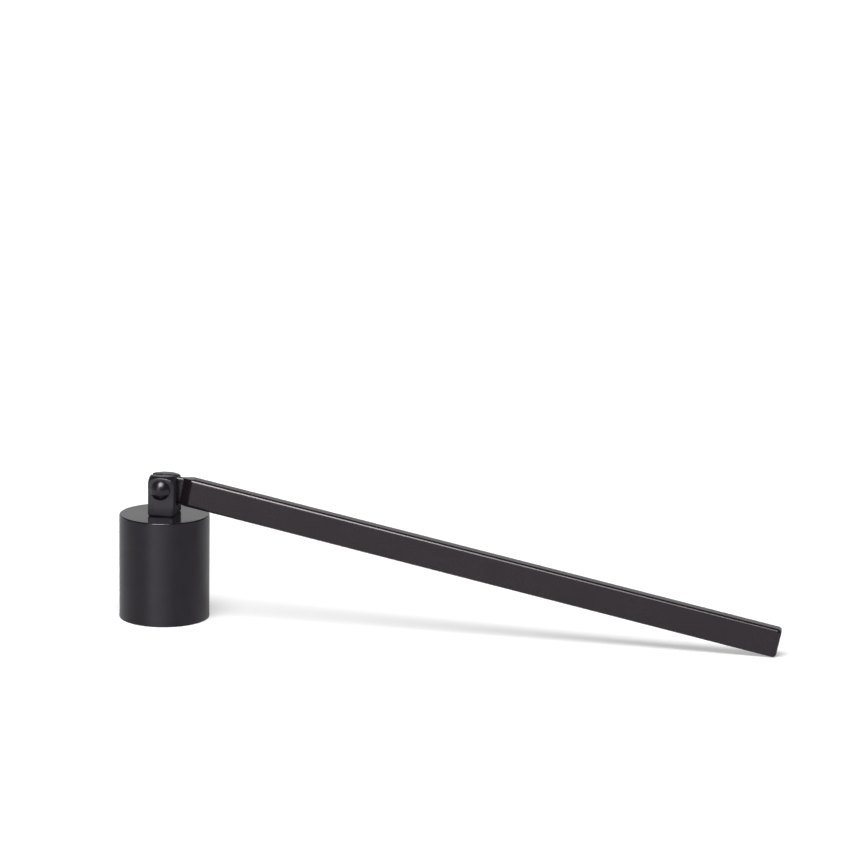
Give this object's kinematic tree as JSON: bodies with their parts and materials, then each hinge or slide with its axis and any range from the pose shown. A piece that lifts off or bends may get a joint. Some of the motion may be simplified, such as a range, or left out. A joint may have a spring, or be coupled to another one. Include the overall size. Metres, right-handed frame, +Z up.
{
  "type": "candle snuffer",
  "caption": "Candle snuffer with a straight-sided metal bell hung from a forked yoke on a domed rivet, at the end of a long flat bar handle that pivots.",
  "frame": {"origin": "middle of the bell's mouth, in the plane of its rim, which stands on the floor", "axes": "+Z up along the bell's axis, +X from the bell toward the far end of the handle, Y along the pivot rivet"},
  "size_m": [0.209, 0.0284, 0.0459],
  "materials": {
    "satin_black_metal": "satin black coating",
    "plated_screw": "plain plated"
  },
  "bodies": {
    "head": {"bell": "satin_black_metal", "yoke": "satin_black_metal", "pivot_rivet": "satin_black_metal", "yoke_screw": "plated_screw"},
    "handle": {"handle": "satin_black_metal"}
  },
  "joints": [
    {"name": "handle_pivot", "type": "hinge", "parent": "head", "child": "handle", "pos_m": [0, 0, 0.04185], "axis": [0, -1, 0], "range_deg": [-6, 204.5]}
  ]
}
